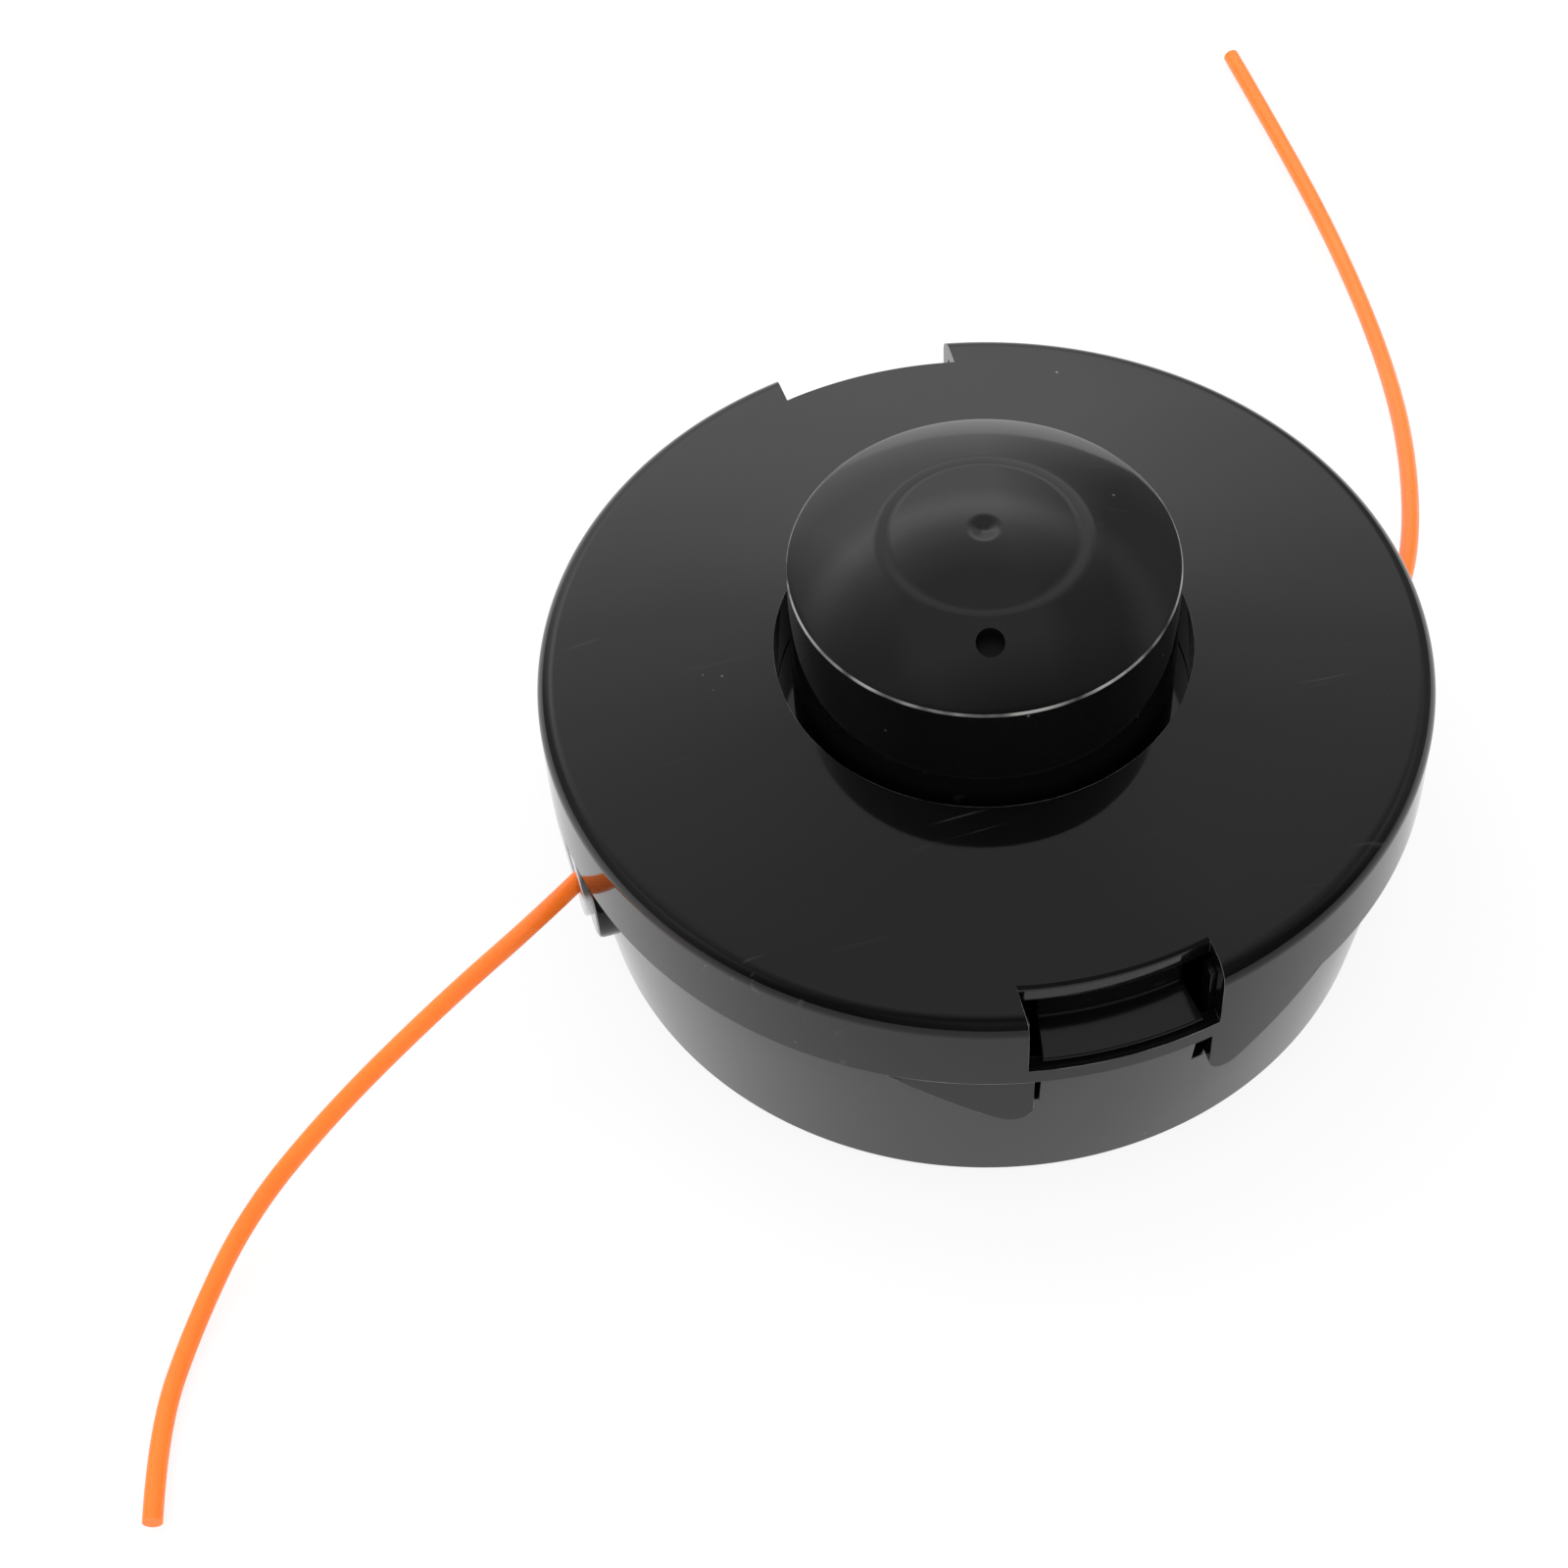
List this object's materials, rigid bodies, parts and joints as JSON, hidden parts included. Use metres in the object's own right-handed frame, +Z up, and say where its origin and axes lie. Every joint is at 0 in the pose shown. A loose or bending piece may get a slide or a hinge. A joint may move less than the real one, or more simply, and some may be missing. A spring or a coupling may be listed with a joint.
{
  "type": "bump-feed line trimmer head with its line spool",
  "caption": "Round bump-feed trimmer head: drum housing, clip-on cover, sprung line spool under a domed bump knob, and orange line leaving through opposite eyelets.",
  "frame": {"origin": "on the axis of the head, in the plane of the drum's foot rim that it stands on", "axes": "+Z up along the axis towards the bump knob; +X and -X through the line eyelets; -Y and +Y through the cover's latch windows"},
  "size_m": [0.2091, 0.2035, 0.0617],
  "materials": {
    "housing_plastic": "glossy black moulded nylon",
    "cover_plastic": "polished black moulded nylon with faint handling marks",
    "spool_plastic": "polished black moulded nylon",
    "trimmer_line": "slightly translucent orange nylon monofilament",
    "eyelet_metal": "polished",
    "spring_steel": "bright drawn and stamped steel",
    "nut_steel": "zinc plated"
  },
  "bodies": {
    "housing_body": {"housing": "housing_plastic", "cover": "cover_plastic", "drive_nut": "nut_steel", "eyelet_left": "eyelet_metal", "eyelet_right": "eyelet_metal", "compression_spring": "spring_steel", "line_tail_left": "trimmer_line", "line_tail_right": "trimmer_line"},
    "washer_body": {"thrust_washer": "spring_steel"},
    "spool_body": {"bump_spool": "spool_plastic", "bump_knob": "spool_plastic", "wound_line_lower": "trimmer_line", "wound_line_upper": "trimmer_line"}
  },
  "joints": [
    {"name": "bump_press", "type": "slide", "parent": "housing_body", "child": "washer_body", "axis": [0, 0, -1], "range_m": [0, 0.006], "stiffness_N_per_m": 2000, "springref_m": -0.006, "deforming": ["compression_spring"]},
    {"name": "spool_index", "type": "hinge", "parent": "washer_body", "child": "spool_body", "pos_m": [0, 0, 0.02], "axis": [0, 0, 1], "range_deg": [0, 30]}
  ],
  "couplings": [
    {"joint": "spool_index", "follows": "bump_press", "rad_per_m": 87}
  ]
}
